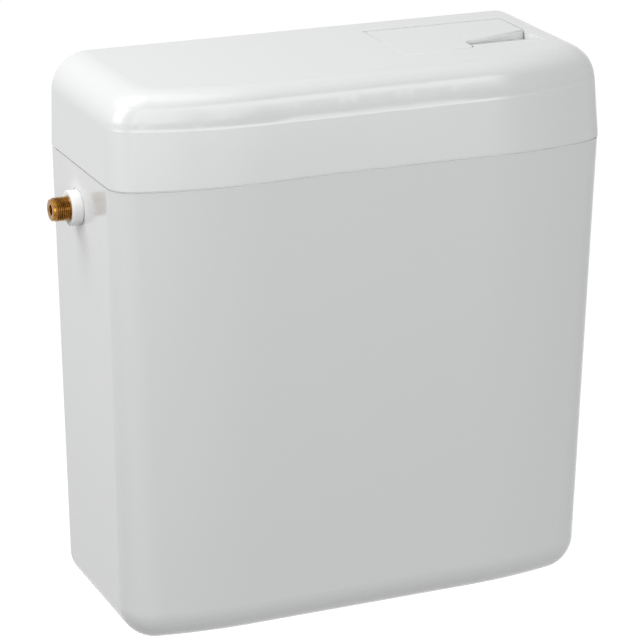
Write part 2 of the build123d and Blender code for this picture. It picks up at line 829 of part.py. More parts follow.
seal_clamp.part.label = "seal_clamp"
export_step(seal_clamp.part, "parts/seal_clamp.step")

lift_nut_bottom = rocker_top + push_gap
rod_top = lift_nut_bottom + lift_nut_height + lift_rod_tip
rod_bottom = floor_z + overflow_height - lift_bar_height

with BuildPart() as lift_rod:
    extrude(block(Plane(origin=(0, -outlet_y, rod_bottom)), 2 * tube_radius, lift_bar_width),
            amount=lift_bar_height)
    extrude(disc(Plane(origin=(0, -outlet_y, rod_bottom)), lift_rod_radius), amount=rod_top - rod_bottom)

lift_rod.part.label = "lift_rod"
export_step(lift_rod.part, "parts/lift_rod.step")

with BuildPart() as lift_nut:
    extrude(disc(Plane(origin=(0, -outlet_y, lift_nut_bottom)), lift_nut_radius, lift_rod_radius + pin_fit),
            amount=lift_nut_height)

lift_nut.part.label = "lift_nut"
export_step(lift_nut.part, "parts/lift_nut.step")


# Side inlet on the left
def inlet_plane(x):
    """Plane across the left inlet's axis, its normal towards the middle of the tank."""
    return crosswise(x, -inlet_y, inlet_z)


shank_radius = thread_radius - shank_step
inlet_seal_x = -inlet_pad_x
shoulder_x = inlet_seal_x + inlet_seal_thickness
fill_x = shoulder_x + inlet_shoulder_length
tail_x = -inlet_face_x - tail_length

with BuildPart() as inlet_tail:
    extrude(disc(inlet_plane(tail_x), thread_radius), amount=tail_length - inlet_nut_length)
    extrude(disc(inlet_plane(tail_x), shank_radius), amount=shoulder_x - tail_x)
    extrude(disc(inlet_plane(shoulder_x), inlet_shoulder_radius), amount=inlet_shoulder_length)
    extrude(disc(inlet_plane(fill_x), spigot_radius), amount=spigot_length)
    extrude(disc(inlet_plane(tail_x), tail_bore_radius), amount=fill_x + spigot_length - tail_x,
            mode=Mode.SUBTRACT)
    chamfer(inlet_tail.edges().filter_by(GeomType.CIRCLE).group_by(Axis.X)[0], spot_face)

inlet_tail.part.label = "inlet_tail"
export_step(inlet_tail.part, "parts/inlet_tail.step")

with BuildPart() as inlet_nut:
    extrude(disc(inlet_plane(-inlet_face_x - inlet_nut_length), inlet_nut_radius, shank_radius + pin_fit),
            amount=inlet_nut_length)

inlet_nut.part.label = "inlet_nut"
export_step(inlet_nut.part, "parts/inlet_nut.step")

with BuildPart() as inlet_seal:
    extrude(disc(inlet_plane(inlet_seal_x), inlet_shoulder_radius, shank_radius + pin_fit),
            amount=inlet_seal_thickness)

inlet_seal.part.label = "inlet_seal"
export_step(inlet_seal.part, "parts/inlet_seal.step")

# Fill valve
fill_end = fill_x + fill_body_length
downpipe_x = fill_x + downpipe_inset
collar_bottom = inlet_z - downpipe_collar_drop

with BuildPart() as fill_valve_body:
    extrude(disc(inlet_plane(fill_x), fill_body_radius), amount=fill_body_length)
    extrude(disc(inlet_plane(fill_end - fill_flange_length), fill_flange_radius), amount=fill_flange_length)
    extrude(disc(Plane(origin=(downpipe_x, -inlet_y, collar_bottom)), downpipe_collar_radius),
            amount=downpipe_collar_drop)
    extrude(disc(Plane(origin=(downpipe_x, -inlet_y, collar_bottom - downpipe_spigot_length)),
                 downpipe_spigot_radius), amount=downpipe_spigot_length)
    extrude(disc(inlet_plane(fill_x), spigot_radius + pin_fit), amount=spigot_length, mode=Mode.SUBTRACT)
    extrude(disc(inlet_plane(fill_x), fill_bore_radius), amount=fill_body_length - fill_seat_thickness,
            mode=Mode.SUBTRACT)
    extrude(disc(inlet_plane(fill_x), fill_nozzle_radius), amount=fill_body_length, mode=Mode.SUBTRACT)
    extrude(disc(Plane(origin=(downpipe_x, -inlet_y, collar_bottom - downpipe_spigot_length)),
                 downpipe_bore_radius), amount=downpipe_spigot_length + downpipe_collar_drop,
            mode=Mode.SUBTRACT)

fill_valve_body.part.label = "fill_valve_body"
export_step(fill_valve_body.part, "parts/fill_valve_body.step")

with BuildPart() as diaphragm:
    extrude(disc(inlet_plane(fill_end), diaphragm_radius), amount=diaphragm_thickness)

diaphragm.part.label = "diaphragm"
export_step(diaphragm.part, "parts/diaphragm.step")

cap_x = fill_end + diaphragm_thickness
cap_end = cap_x + fill_cap_length
pivot_x = cap_end + float_pivot_reach
float_pivot_z = inlet_z - float_pivot_drop
hub_length = lever_width + ear_clearance
ear_inner = hub_length / 2 + ear_clearance / 2

with BuildPart() as fill_valve_cap:
    extrude(disc(inlet_plane(cap_x), fill_flange_radius), amount=fill_cap_length)
    for ear_y in (inlet_y - ear_inner - ear_thickness, inlet_y + ear_inner):
        with BuildSketch(Plane.XZ.offset(ear_y)):
            with Locations((pivot_x, float_pivot_z)):
                Circle(ear_radius)
            with Locations(((cap_x + pivot_x) / 2, float_pivot_z)):
                Rectangle(pivot_x - cap_x, 2 * ear_radius)
        extrude(amount=ear_thickness)
    with BuildSketch(Plane.XZ.offset(inlet_y - ear_inner - ear_thickness)):
        with Locations((pivot_x, float_pivot_z)):
            Circle(float_pin_radius + pin_fit)
    extrude(amount=2 * (ear_inner + ear_thickness), mode=Mode.SUBTRACT)
    extrude(disc(inlet_plane(cap_x), cap_chamber_radius), amount=cap_chamber_depth, mode=Mode.SUBTRACT)
    extrude(disc(inlet_plane(cap_x), valve_pin_radius + running_clearance), amount=fill_cap_length,
            mode=Mode.SUBTRACT)

fill_valve_cap.part.label = "fill_valve_cap"
export_step(fill_valve_cap.part, "parts/fill_valve_cap.step")

finger_x = pivot_x - finger_thickness / 2
pin_end = finger_x - push_gap
pin_start = cap_x + cap_chamber_depth - valve_pin_head_length - running_clearance

with BuildPart() as valve_pin:
    extrude(disc(inlet_plane(pin_start), valve_pin_head_radius), amount=valve_pin_head_length)
    extrude(disc(inlet_plane(pin_start), valve_pin_radius), amount=pin_end - valve_pin_radius - pin_start)
    with Locations((pin_end - valve_pin_radius, -inlet_y, inlet_z)):
        Sphere(valve_pin_radius)

valve_pin.part.label = "valve_pin"
export_step(valve_pin.part, "parts/valve_pin.step")

with BuildPart() as float_pin:
    with BuildSketch(Plane.XZ.offset(inlet_y - ear_inner - ear_thickness)):
        with Locations((pivot_x, float_pivot_z)):
            Circle(float_pin_radius)
    extrude(amount=2 * (ear_inner + ear_thickness))

float_pin.part.label = "float_pin"
export_step(float_pin.part, "parts/float_pin.step")

with BuildPart() as silencer_tube:
    extrude(disc(Plane(origin=(downpipe_x, -inlet_y, floor_z + silencer_floor_gap)), silencer_radius,
                 silencer_bore_radius), amount=collar_bottom - floor_z - silencer_floor_gap)

silencer_tube.part.label = "silencer_tube"
export_step(silencer_tube.part, "parts/silencer_tube.step")

# Float lever and float
lever_bottom = float_pivot_z - lever_thickness / 2
float_x = pivot_x + float_reach
float_top = lever_bottom - float_drop
screw_x = float_x

with BuildPart() as float_lever:
    with BuildSketch(Plane.XZ.offset(inlet_y - hub_length / 2)):
        with Locations((pivot_x, float_pivot_z)):
            Circle(float_hub_radius)
    extrude(amount=hub_length)
    with BuildSketch(Plane.XZ.offset(inlet_y - lever_width / 2)):
        with Locations((pivot_x + lever_reach / 2, float_pivot_z)):
            Rectangle(lever_reach, lever_thickness)
    extrude(amount=lever_width)
    with BuildSketch(Plane.XZ.offset(inlet_y - finger_width / 2)):
        with Locations((pivot_x, (float_pivot_z + inlet_z + finger_overlap) / 2)):
            Rectangle(finger_thickness, inlet_z + finger_overlap - float_pivot_z)
    extrude(amount=finger_width)
    with BuildSketch(Plane.XZ.offset(inlet_y - hub_length / 2)):
        with Locations((pivot_x, float_pivot_z)):
            Circle(float_pin_radius + running_clearance)
    extrude(amount=hub_length, mode=Mode.SUBTRACT)
    extrude(disc(Plane(origin=(screw_x, -inlet_y, lever_bottom)), float_screw_radius + pin_fit),
            amount=lever_thickness, mode=Mode.SUBTRACT)

float_lever.part.label = "float_lever"
export_step(float_lever.part, "parts/float_lever.step")

with BuildPart() as water_float:
    extrude(block(Plane(origin=(float_x, -inlet_y, float_top - float_height)), float_length, float_width),
            amount=float_height)
    fillet(water_float.edges(), float_edge_radius)
    extrude(disc(Plane(origin=(screw_x, -inlet_y, float_top)), float_neck_radius), amount=float_drop)
    extrude(disc(Plane(origin=(screw_x, -inlet_y, lever_bottom - float_screw_depth)),
                 float_screw_radius + pin_fit), amount=float_screw_depth, mode=Mode.SUBTRACT)

water_float.part.label = "water_float"
export_step(water_float.part, "parts/water_float.step")

with BuildPart() as float_screw:
    extrude(disc(Plane(origin=(screw_x, -inlet_y, lever_bottom - float_screw_depth)), float_screw_radius),
            amount=float_screw_depth + lever_thickness)
    extrude(disc(Plane(origin=(screw_x, -inlet_y, lever_bottom + lever_thickness)), float_screw_head_radius),
            amount=float_screw_head_height)

float_screw.part.label = "float_screw"
export_step(float_screw.part, "parts/float_screw.step")

# Blanking plug on the right
plug_inner = inlet_pad_x - plug_seal_thickness - plug_nut_length - plug_tip

with BuildPart() as blanking_plug:
    extrude(disc(crosswise(plug_inner, -inlet_y, inlet_z), shank_radius), amount=inlet_face_x - plug_inner)
    extrude(disc(crosswise(inlet_face_x, -inlet_y, inlet_z), plug_head_radius), amount=plug_head_length)
    fillet(blanking_plug.edges().filter_by(GeomType.CIRCLE).group_by(Axis.X)[-1], plug_head_edge)

blanking_plug.part.label = "blanking_plug"
export_step(blanking_plug.part, "parts/blanking_plug.step")

with BuildPart() as plug_seal:
    extrude(disc(crosswise(inlet_pad_x - plug_seal_thickness, -inlet_y, inlet_z), inlet_shoulder_radius,
                 shank_radius + pin_fit), amount=plug_seal_thickness)

plug_seal.part.label = "plug_seal"
export_step(plug_seal.part, "parts/plug_seal.step")

with BuildPart() as plug_nut:
    with BuildSketch(crosswise(inlet_pad_x - plug_seal_thickness - plug_nut_length, -inlet_y, inlet_z)):
        RegularPolygon(inlet_shoulder_radius, plug_nut_sides)
        Circle(shank_radius + pin_fit, mode=Mode.SUBTRACT)
    extrude(amount=plug_nut_length)

plug_nut.part.label = "plug_nut"
export_step(plug_nut.part, "parts/plug_nut.step")
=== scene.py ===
import json
from math import cos, pi, radians, sin, tau

import bmesh
import bpy
from mathutils import Matrix, Vector


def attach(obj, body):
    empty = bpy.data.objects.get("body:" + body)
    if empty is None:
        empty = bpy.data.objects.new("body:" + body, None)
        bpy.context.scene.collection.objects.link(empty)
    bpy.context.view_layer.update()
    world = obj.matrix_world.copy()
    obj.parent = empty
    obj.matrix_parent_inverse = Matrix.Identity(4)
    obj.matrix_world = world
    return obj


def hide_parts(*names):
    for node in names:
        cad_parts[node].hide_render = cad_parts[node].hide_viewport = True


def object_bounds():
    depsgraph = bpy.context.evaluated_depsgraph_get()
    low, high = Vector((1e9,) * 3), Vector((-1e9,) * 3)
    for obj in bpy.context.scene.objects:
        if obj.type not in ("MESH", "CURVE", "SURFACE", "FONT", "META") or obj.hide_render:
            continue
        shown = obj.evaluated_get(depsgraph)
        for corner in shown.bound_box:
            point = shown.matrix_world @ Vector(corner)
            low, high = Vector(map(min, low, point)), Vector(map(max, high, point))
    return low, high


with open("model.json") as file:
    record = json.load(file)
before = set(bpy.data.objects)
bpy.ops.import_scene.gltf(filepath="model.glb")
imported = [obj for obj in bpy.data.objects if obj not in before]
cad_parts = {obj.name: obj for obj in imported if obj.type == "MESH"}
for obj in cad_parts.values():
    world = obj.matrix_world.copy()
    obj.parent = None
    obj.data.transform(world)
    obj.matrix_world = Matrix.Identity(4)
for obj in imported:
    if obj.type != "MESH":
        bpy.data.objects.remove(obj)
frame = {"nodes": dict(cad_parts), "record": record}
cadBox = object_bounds()
nodes = frame["nodes"]
bodyOf = {node: body for body, names in frame["record"]["behaviour"]["bodies"].items() for node in names}
slotOf = {s["node"]: s["material_slot"] for s in frame["record"]["subparts"]}
mm = 0.001
print("frame loaded:", len(nodes), "pieces")


# colours, shader nodes and materials

def srgb(hexText):  # "#RRGGBB" as seen on a screen, to the linear values that a shader takes
    shares = [int(hexText[i:i + 2], 16) / 255 for i in (1, 3, 5)]
    return (*[s / 12.92 if s <= 0.04045 else ((s + 0.055) / 1.055) ** 2.4 for s in shares], 1)


def addNode(tree, kind, sets=(), links=()):
    node = tree.nodes.new("ShaderNode" + kind)
    for name, value in dict(sets).items():
        if isinstance(name, str) and hasattr(node, name):
            setattr(node, name, value)
        else:
            node.inputs[name].default_value = value
    for name, socket in dict(links).items():
        tree.links.new(socket, node.inputs[name])
    return node


def newMaterial(name):
    material = bpy.data.materials.new(name)
    material.use_nodes = True
    material.node_tree.nodes.clear()
    return material, material.node_tree


def finishMaterial(tree, shader):
    output = addNode(tree, "OutputMaterial")
    tree.links.new(shader, output.inputs["Surface"])


def objectPoint(tree):
    return addNode(tree, "TexCoord").outputs["Object"]


glossyAbs = dict(colour="#E4E5E5", ior=1.53, roughness=0.17, handling=0.05, handlingSize=60 * mm,
                 cleanShare=0.4, handledShare=0.7, peelSize=3 * mm, peelDepth=0.004 * mm)


def makeGlossyAbs():
    # injection moulded ABS in sanitary white: a polished mould gives a clear gloss, the shrinking wall a
    # faint orange peel, and hands and cloths leave slow patches of slightly duller gloss
    g = glossyAbs
    material, tree = newMaterial("glossyWhiteAbs")
    point = objectPoint(tree)
    patches = addNode(tree, "TexNoise", {"Scale": 1 / g["handlingSize"], "Detail": 3}, {"Vector": point})
    duller = addNode(tree, "MapRange", {"From Min": g["cleanShare"], "From Max": g["handledShare"],
                                        "To Min": g["roughness"], "To Max": g["roughness"] + g["handling"]},
                     {"Value": patches.outputs[0]})
    peel = addNode(tree, "TexNoise", {"Scale": 1 / g["peelSize"], "Detail": 1}, {"Vector": point})
    bump = addNode(tree, "Bump", {"Strength": 1, "Distance": g["peelDepth"]}, {"Height": peel.outputs[0]})
    shader = addNode(tree, "BsdfPrincipled", {"Base Color": srgb(g["colour"]), "IOR": g["ior"]},
                     {"Roughness": duller.outputs[0], "Normal": bump.outputs[0]})
    finishMaterial(tree, shader.outputs[0])
    return material


mouldedFinishes = {
    "white_plastic": dict(name="satinWhitePolypropylene", colour="#F8F8F7", shade="#F3F4F2", roughness=0.36,
                          grain=0.6 * mm, depth=0.006 * mm),
    "grey_plastic": dict(name="greyAcetal", colour="#7E868D", shade="#757D84", roughness=0.4,
                         grain=0.5 * mm, depth=0.006 * mm),
    "blue_plastic": dict(name="bluePolypropylene", colour="#3F77A8", shade="#386C9B", roughness=0.34,
                         grain=0.6 * mm, depth=0.006 * mm),
}
moulding = dict(flowSize=25 * mm, ior=1.49)


def makeMoulded(name, colour, shade, roughness, grain, depth):
    # a spark-eroded mould leaves a fine even grain, and the flow of the melt slow streaks of a second tone
    material, tree = newMaterial(name)
    point = objectPoint(tree)
    flow = addNode(tree, "TexNoise", {"Scale": 1 / moulding["flowSize"], "Detail": 2, "Distortion": 1},
                   {"Vector": point})
    tone = addNode(tree, "Mix", {"data_type": "RGBA", 6: srgb(colour), 7: srgb(shade)}, {0: flow.outputs[0]})
    fine = addNode(tree, "TexNoise", {"Scale": 1 / grain, "Detail": 2}, {"Vector": point})
    bump = addNode(tree, "Bump", {"Strength": 1, "Distance": depth}, {"Height": fine.outputs[0]})
    shader = addNode(tree, "BsdfPrincipled", {"Roughness": roughness, "IOR": moulding["ior"]},
                     {"Base Color": tone.outputs[2], "Normal": bump.outputs[0]})
    finishMaterial(tree, shader.outputs[0])
    return material


foam = dict(colour="#F0F0EC", joint="#D9DAD4", bead=3.2 * mm, jointShare=0.08, depth=0.25 * mm, relief=0.6,
            roughness=0.7, ior=1.4)


def makeFoam():
    # expanded polystyrene: beads pressed flat against each other, with fine dark joints between them
    material, tree = newMaterial("beadedPolystyrene")
    point = objectPoint(tree)
    beads = addNode(tree, "TexVoronoi", {"feature": "DISTANCE_TO_EDGE", "Scale": 1 / foam["bead"]},
                    {"Vector": point})
    edge = addNode(tree, "MapRange", {"From Max": foam["jointShare"]}, {"Value": beads.outputs[0]})
    tone = addNode(tree, "Mix", {"data_type": "RGBA", 6: srgb(foam["joint"]), 7: srgb(foam["colour"])},
                   {0: edge.outputs[0]})
    bump = addNode(tree, "Bump", {"Strength": foam["relief"], "Distance": foam["depth"]},
                   {"Height": edge.outputs[0]})
    shader = addNode(tree, "BsdfPrincipled", {"Roughness": foam["roughness"], "IOR": foam["ior"]},
                     {"Base Color": tone.outputs[2], "Normal": bump.outputs[0]})
    finishMaterial(tree, shader.outputs[0])
    return material


rubber = dict(colour="#1D1E1F", bloom="#34363A", bloomSize=9 * mm, grain=0.4 * mm, depth=0.01 * mm,
              roughness=0.62, ior=1.5)


def makeRubber():
    # pressed EPDM: deep black with a thin grey bloom in patches and a dull sheen
    material, tree = newMaterial("blackEpdmRubber")
    point = objectPoint(tree)
    patches = addNode(tree, "TexNoise", {"Scale": 1 / rubber["bloomSize"], "Detail": 4}, {"Vector": point})
    tone = addNode(tree, "Mix", {"data_type": "RGBA", 6: srgb(rubber["colour"]), 7: srgb(rubber["bloom"])},
                   {0: patches.outputs[0]})
    fine = addNode(tree, "TexNoise", {"Scale": 1 / rubber["grain"]}, {"Vector": point})
    bump = addNode(tree, "Bump", {"Strength": 1, "Distance": rubber["depth"]}, {"Height": fine.outputs[0]})
    shader = addNode(tree, "BsdfPrincipled", {"Roughness": rubber["roughness"], "IOR": rubber["ior"]},
                     {"Base Color": tone.outputs[2], "Normal": bump.outputs[0]})
    finishMaterial(tree, shader.outputs[0])
    return material


brass = dict(colour="#A97B38", tarnish="#5F3C17", filmSize=5 * mm, filmFrom=0.42, filmTo=0.75, bright=0.2,
             dull=0.38, turning=0.35 * mm, radianLength=50 * mm, ringDepth=0.01 * mm, relief=0.6)


def makeBrass():
    # turned brass: bright golden crests, browner film in patches, and fine rings left by the tool along X
    material, tree = newMaterial("turnedBrass")
    point = objectPoint(tree)
    film = addNode(tree, "TexNoise", {"Scale": 1 / brass["filmSize"], "Detail": 5, "Roughness": 0.6},
                   {"Vector": point})
    share = addNode(tree, "MapRange", {"From Min": brass["filmFrom"], "From Max": brass["filmTo"]},
                    {"Value": film.outputs[0]})
    tone = addNode(tree, "Mix", {"data_type": "RGBA", 6: srgb(brass["colour"]), 7: srgb(brass["tarnish"])},
                   {0: share.outputs[0]})
    dull = addNode(tree, "MapRange", {"To Min": brass["bright"], "To Max": brass["dull"]},
                   {"Value": share.outputs[0]})
    scale = brass["radianLength"] / brass["turning"]  # a wave of scale 1 turns by a radian in 50 mm
    rings = addNode(tree, "TexWave", {"bands_direction": "X", "Scale": scale, "Distortion": 0.3},
                    {"Vector": point})
    bump = addNode(tree, "Bump", {"Strength": brass["relief"], "Distance": brass["ringDepth"]},
                   {"Height": rings.outputs[1]})
    shader = addNode(tree, "BsdfPrincipled", {"Metallic": 1},
                     {"Base Color": tone.outputs[2], "Roughness": dull.outputs[0], "Normal": bump.outputs[0]})
    finishMaterial(tree, shader.outputs[0])
    return material


steel = dict(colour="#BFC1C2", roughness=0.24, scratchDull=0.12, scratchSize=0.5 * mm)


def makeSteel():
    # drawn stainless steel: a bright grey with faint lengthwise scratches
    material, tree = newMaterial("drawnStainlessSteel")
    point = objectPoint(tree)
    scratch = addNode(tree, "TexNoise", {"Scale": 1 / steel["scratchSize"], "Detail": 3}, {"Vector": point})
    dull = addNode(tree, "MapRange", {"To Min": steel["roughness"],
                                      "To Max": steel["roughness"] + steel["scratchDull"]},
                   {"Value": scratch.outputs[0]})
    shader = addNode(tree, "BsdfPrincipled", {"Base Color": srgb(steel["colour"]), "Metallic": 1},
                     {"Roughness": dull.outputs[0]})
    finishMaterial(tree, shader.outputs[0])
    return material


finishes = {"white_shell": makeGlossyAbs(), "float_foam": makeFoam(), "rubber": makeRubber(),
            "brass": makeBrass(), "steel": makeSteel()}
for slot, settings in mouldedFinishes.items():
    finishes[slot] = makeMoulded(**settings)
print("materials made:", len(finishes))


# mesh helpers

meshing = dict(spunWeld=0.0005 * mm, cadWeld=0.002 * mm, flatTurn=0.05)
threadShape = dict(flankShare=0.46, landShare=0.08)  # of the pitch, each side of the crest


def boxOf(node):
    corners = [v.co for v in nodes[node].data.vertices]
    low = Vector([min(c[i] for c in corners) for i in range(3)])
    high = Vector([max(c[i] for c in corners) for i in range(3)])
    return low, high


def spun(outline, steps=96):  # a closed outline of (radius, height) points, spun about Z
    bm = bmesh.new()
    points = [bm.verts.new((radius, 0, height)) for radius, height in outline]
    pairs = zip(points, points[1:] + points[:1])
    edges = [bm.edges.new(pair) for pair in pairs if pair[0].co.x + pair[1].co.x > 0]  # not along the axis
    bmesh.ops.spin(bm, geom=points + edges, cent=(0, 0, 0), axis=(0, 0, 1), angle=tau, steps=steps,
                   use_merge=True)
    bmesh.ops.remove_doubles(bm, verts=bm.verts, dist=meshing["spunWeld"])
    bmesh.ops.recalc_face_normals(bm, faces=bm.faces)
    return bm


def threadRidge(crest, depth, pitch, start, turns, steps=64):  # one helical ridge that stands on a plain core
    bm = bmesh.new()
    root, flank, land = crest - depth, pitch * threadShape["flankShare"], pitch * threadShape["landShare"]
    outline = [(root, start - flank), (crest, start - land), (crest, start + land), (root, start + flank)]
    points = [bm.verts.new((radius, 0, height)) for radius, height in outline]
    edges = [bm.edges.new(pair) for pair in zip(points, points[1:] + points[:1])]
    bmesh.ops.spin(bm, geom=points + edges, cent=(0, 0, 0), axis=(0, 0, 1), dvec=(0, 0, pitch / steps),
                   angle=tau * turns, steps=round(steps * turns))
    bmesh.ops.holes_fill(bm, edges=[e for e in bm.edges if e.is_boundary], sides=0)
    bmesh.ops.recalc_face_normals(bm, faces=bm.faces)
    return bm


def rod(radius, height, at=(0, 0, 0), sides=48):
    bm = bmesh.new()
    bmesh.ops.create_cone(bm, cap_ends=True, segments=sides, radius1=radius, radius2=radius, depth=height)
    bmesh.ops.translate(bm, verts=bm.verts, vec=Vector(at) + Vector((0, 0, height / 2)))
    return bm


def brick(low, high):
    bm = bmesh.new()
    bmesh.ops.create_cube(bm, size=1)
    low, high = Vector(low), Vector(high)
    bmesh.ops.scale(bm, verts=bm.verts, vec=high - low)
    bmesh.ops.translate(bm, verts=bm.verts, vec=(low + high) / 2)
    return bm


def roundEdges(bm, offset, over=30, segments=3):
    sharp = [e for e in bm.edges if len(e.link_faces) == 2 and e.calc_face_angle(0) > radians(over)]
    bmesh.ops.bevel(bm, geom=sharp, offset=offset, offset_type="OFFSET", affect="EDGES", segments=segments,
                    profile=0.5, material=-1, clamp_overlap=True)
    return bm


def joined(*parts):
    whole = parts[0]
    for part in parts[1:]:
        mesh = bpy.data.meshes.new("part")
        part.to_mesh(mesh)
        part.free()
        whole.from_mesh(mesh)
        bpy.data.meshes.remove(mesh)
    return whole


def carved(bm, *cutters):  # takes closed shapes away from a closed shape
    def asObject(shape, name):
        mesh = bpy.data.meshes.new(name)
        shape.to_mesh(mesh)
        shape.free()
        made = bpy.data.objects.new(name, mesh)
        bpy.context.scene.collection.objects.link(made)
        return made
    block = asObject(bm, "block")
    tools = [asObject(cutter, "cutter") for cutter in cutters]
    for tool in tools:
        cut = block.modifiers.new("cut", "BOOLEAN")
        cut.operation, cut.solver, cut.object = "DIFFERENCE", "EXACT", tool
    result = bmesh.new()
    result.from_object(block, bpy.context.evaluated_depsgraph_get())
    for made in [block, *tools]:
        bpy.data.meshes.remove(made.data)
    return result


def turnTo(bm, axis, at):  # lays a shape that was made along Z on another axis and moves it there
    turns = {"X": Matrix.Rotation(pi / 2, 3, "Y"),
             "-Y": Matrix.Rotation(pi / 2, 3, "X"), "Z": Matrix.Identity(3)}
    bmesh.ops.rotate(bm, verts=bm.verts, cent=(0, 0, 0), matrix=turns[axis])
    bmesh.ops.translate(bm, verts=bm.verts, vec=at)
    return bm


def merged(node):
    bm = bmesh.new()
    bm.from_mesh(nodes[node].data)
    bmesh.ops.remove_doubles(bm, verts=bm.verts, dist=meshing["cadWeld"])
    bmesh.ops.dissolve_limit(bm, angle_limit=radians(meshing["flatTurn"]), verts=bm.verts, edges=bm.edges)
    return bm


def addPiece(name, bm, node, smoothAngle=40):
    mesh = bpy.data.meshes.new(name)
    bm.to_mesh(mesh)
    bm.free()
    piece = bpy.data.objects.new(name, mesh)
    bpy.context.scene.collection.objects.link(piece)
    mesh.materials.append(finishes[slotOf[node]])
    mesh.shade_smooth()
    mesh.set_sharp_from_angle(angle=radians(smoothAngle))
    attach(piece, bodyOf[node])
    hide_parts(node)
    return piece


# water inlet on the left

inletTail = dict(crest=8.33 * mm, threadDepth=0.856 * mm, pitch=1.337 * mm, bore=3.6 * mm, shank=7.88 * mm,
                 shankStep=0.3 * mm, shoulder=12.5 * mm, shoulderLength=3 * mm, spigot=7 * mm,
                 spigotLength=10 * mm, chamfer=0.9 * mm, chamferFoot=0.1 * mm, boreChamfer=0.3 * mm,
                 softness=0.15 * mm, leadTurns=0.4, lostTurns=0.6)
inletNut = dict(bore=7.9 * mm, softness=0.9 * mm, recess=0.5 * mm, recessRadius=9.6 * mm)


def makeInletTail():
    t = inletTail
    low, high = boxOf("inlet_tail")
    middle = (low + high) / 2
    whole = high.x - low.x
    threadLength = boxOf("inlet_nut")[0].x - low.x
    root = t["crest"] - t["threadDepth"]
    shoulderEnd = whole - t["spigotLength"]
    shoulderStart = shoulderEnd - t["shoulderLength"]
    core = spun([(t["bore"] + t["boreChamfer"], 0), (t["crest"] - t["chamfer"], 0),
                 (root + t["chamferFoot"], t["chamfer"]), (root, threadLength),
                 (t["shank"], threadLength + t["shankStep"]), (t["shank"], shoulderStart),
                 (t["shoulder"], shoulderStart), (t["shoulder"], shoulderEnd), (t["spigot"], shoulderEnd),
                 (t["spigot"], whole), (t["bore"], whole), (t["bore"], t["boreChamfer"])])
    roundEdges(core, t["softness"], segments=2)
    turns = (threadLength - t["chamfer"]) / t["pitch"] - t["lostTurns"]
    start = t["chamfer"] + t["leadTurns"] * t["pitch"]
    ridge = threadRidge(t["crest"], t["threadDepth"], t["pitch"], start, turns)
    addPiece("inletTail", turnTo(joined(core, ridge), "X", (low.x, middle.y, middle.z)), "inlet_tail")


def makeInletNut():
    n = inletNut
    low, high = boxOf("inlet_nut")
    middle = (low + high) / 2
    radius, length = (high.z - low.z) / 2, high.x - low.x
    nut = spun([(n["bore"], n["recess"]), (n["recessRadius"], 0), (radius, 0), (radius, length),
                (n["bore"], length)], 128)
    roundEdges(nut, n["softness"], segments=5)
    addPiece("inletNut", turnTo(nut, "X", (low.x, middle.y, middle.z)), "inlet_nut")


makeInletTail()
makeInletNut()
print("inlet made")


# flush outlet under the tank

outletAxis = dict(y=-68 * mm)
valveBase = dict(crest=29.8 * mm, threadDepth=0.9 * mm, pitch=3 * mm, bore=25.25 * mm, socket=20 * mm,
                 throat=22 * mm, flange=38 * mm, flangeThickness=4 * mm, seatOuter=27 * mm,
                 seatHeight=4 * mm, softness=0.6 * mm, leadTurns=0.6, lostTurns=1.2)
nutLugs = dict(count=8, radius=3 * mm, softness=0.7 * mm)
baseNut = dict(radius=37 * mm, bore=29.82 * mm)
pipeNut = dict(radius=35 * mm, bore=29.82 * mm, floor=3 * mm, floorBore=26.05 * mm)


def makeValveBase():
    b = valveBase
    low, high = boxOf("valve_base")
    whole = high.z - low.z
    flangeTop = whole - b["seatHeight"]
    flangeBottom = flangeTop - b["flangeThickness"]
    root = b["crest"] - b["threadDepth"]
    core = spun([(b["bore"], 0), (root, 0), (root, flangeBottom), (b["flange"], flangeBottom),
                 (b["flange"], flangeTop), (b["seatOuter"], flangeTop), (b["seatOuter"], whole),
                 (b["throat"], whole),
                 (b["throat"], b["socket"]), (b["bore"], b["socket"])], 128)
    roundEdges(core, b["softness"])
    turns = flangeBottom / b["pitch"] - b["lostTurns"]
    ridge = threadRidge(b["crest"], b["threadDepth"], b["pitch"], b["pitch"] * b["leadTurns"], turns, 96)
    addPiece("valveBase", turnTo(joined(core, ridge), "Z", (0, outletAxis["y"], low.z)), "valve_base")


def nutWithLugs(ring, radius, height):
    lugs = []
    for number in range(nutLugs["count"]):
        angle = tau * number / nutLugs["count"]
        lug = rod(nutLugs["radius"], height, (radius * cos(angle), radius * sin(angle), 0), 24)
        lugs.append(roundEdges(lug, nutLugs["softness"]))
    return joined(ring, *lugs)


def makeOutletNuts():
    low, high = boxOf("base_nut")
    height = high.z - low.z
    n = baseNut
    ring = spun([(n["bore"], 0), (n["radius"], 0), (n["radius"], height), (n["bore"], height)])
    nut = nutWithLugs(roundEdges(ring, nutLugs["softness"]), n["radius"], height)
    addPiece("baseNut", turnTo(nut, "Z", (0, outletAxis["y"], low.z)), "base_nut")
    p = pipeNut
    low, high = boxOf("pipe_nut")
    height = high.z - low.z
    ring = spun([(p["floorBore"], 0), (p["radius"], 0), (p["radius"], height), (p["bore"], height),
                 (p["bore"], p["floor"]), (p["floorBore"], p["floor"])])
    nut = nutWithLugs(roundEdges(ring, nutLugs["softness"]), p["radius"], height)
    addPiece("pipeNut", turnTo(nut, "Z", (0, outletAxis["y"], low.z)), "pipe_nut")


makeValveBase()
makeOutletNuts()
print("outlet made")


# rubber rings and discs

